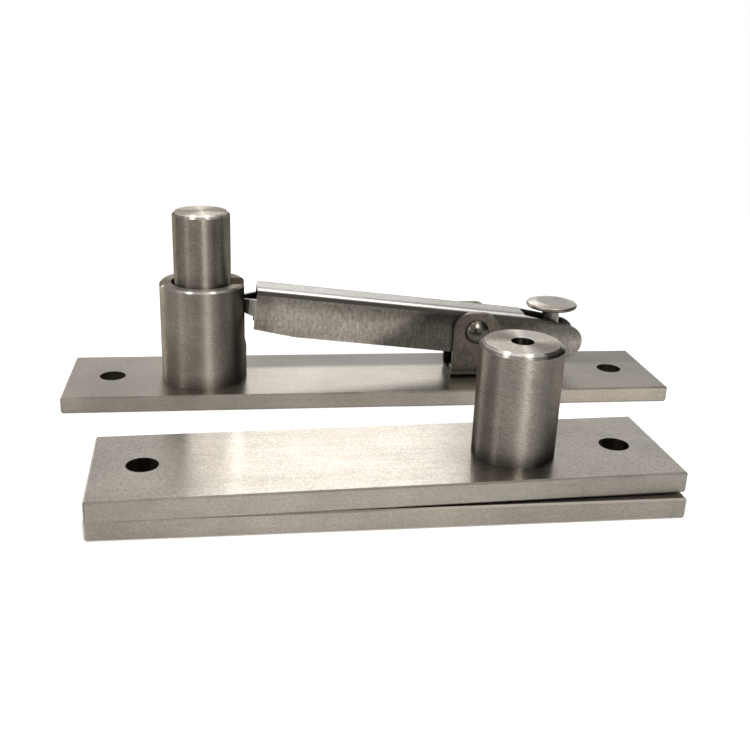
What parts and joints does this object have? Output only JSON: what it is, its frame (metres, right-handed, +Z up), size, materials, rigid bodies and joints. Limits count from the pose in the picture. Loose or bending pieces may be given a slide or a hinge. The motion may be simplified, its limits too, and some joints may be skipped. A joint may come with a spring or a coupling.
{
  "type": "pivot hinge",
  "caption": "Door pivot hinge: frame plate with barrel, sliding pivot pin and rocking lever, and a door plate whose cup turns on a floor plate's spindle.",
  "frame": {"origin": "axis of the pivot pin, in the plane that both halves rest on (its lower end at rest)", "axes": "+X along the frame plate from the barrel towards the adjusting screw, +Y away from the door plate, +Z up, from the plates' faces towards the barrel and cup"},
  "size_m": [0.17, 0.1018, 0.0515],
  "materials": {
    "plate_steel": "long brushed grain on flat bar, edges lightly broken and worn bright",
    "barrel_steel": "fine turning marks, satin",
    "pin_steel": "fine turning marks, satin, paler sawn end",
    "cup_steel": "fine turning marks with a polished chamfer",
    "lever_steel": "satin pressed sheet with bright bends",
    "bracket_steel": "dull pressed sheet",
    "rivet_steel": "polished",
    "screw_steel": "turned, satin",
    "disc_steel": "satin, tumbled smooth",
    "bush_bronze": "turned bronze",
    "pad_steel": "ground hard steel",
    "spindle_steel": "ground"
  },
  "bodies": {
    "frame": {"frame_plate": "plate_steel", "pin_barrel": "barrel_steel", "lever_bracket": "bracket_steel", "lever_rivet": "rivet_steel", "bracket_rivets": "rivet_steel", "lift_nut": "screw_steel", "floor_plate": "plate_steel", "spindle": "spindle_steel"},
    "lever": {"rocker_lever": "lever_steel"},
    "pin": {"pivot_pin": "pin_steel"},
    "disc": {"pressure_disc": "disc_steel"},
    "screw": {"adjusting_screw": "screw_steel"},
    "door": {"door_plate": "plate_steel", "socket_cup": "cup_steel", "cup_bush": "bush_bronze", "thrust_pad": "pad_steel"}
  },
  "joints": [
    {"name": "lever_rock", "type": "hinge", "parent": "frame", "child": "lever", "pos_m": [0.07695, 0, 0.0186], "axis": [0, -1, 0], "range_deg": [0, 6.2]},
    {"name": "pin_slide", "type": "slide", "parent": "frame", "child": "pin", "axis": [0, 0, -1], "range_m": [0, 0.00834]},
    {"name": "disc_travel", "type": "slide", "parent": "frame", "child": "disc", "axis": [0, 0, 1], "range_m": [0, 0.002]},
    {"name": "screw_turn", "type": "hinge", "parent": "disc", "child": "screw", "pos_m": [0.10045, 0, 0], "axis": [0, 0, 1], "range_deg": [0, 900]},
    {"name": "door_swing", "type": "hinge", "parent": "frame", "child": "door", "pos_m": [0.071, -0.0675, 0], "axis": [0, 0, 1], "range_deg": [-20, 200]}
  ],
  "couplings": [
    {"joint": "pin_slide", "follows": "lever_rock", "m_per_rad": 0.077045},
    {"joint": "disc_travel", "follows": "lever_rock", "m_per_rad": 0.018483},
    {"joint": "screw_turn", "follows": "lever_rock", "ratio": 145.16}
  ]
}
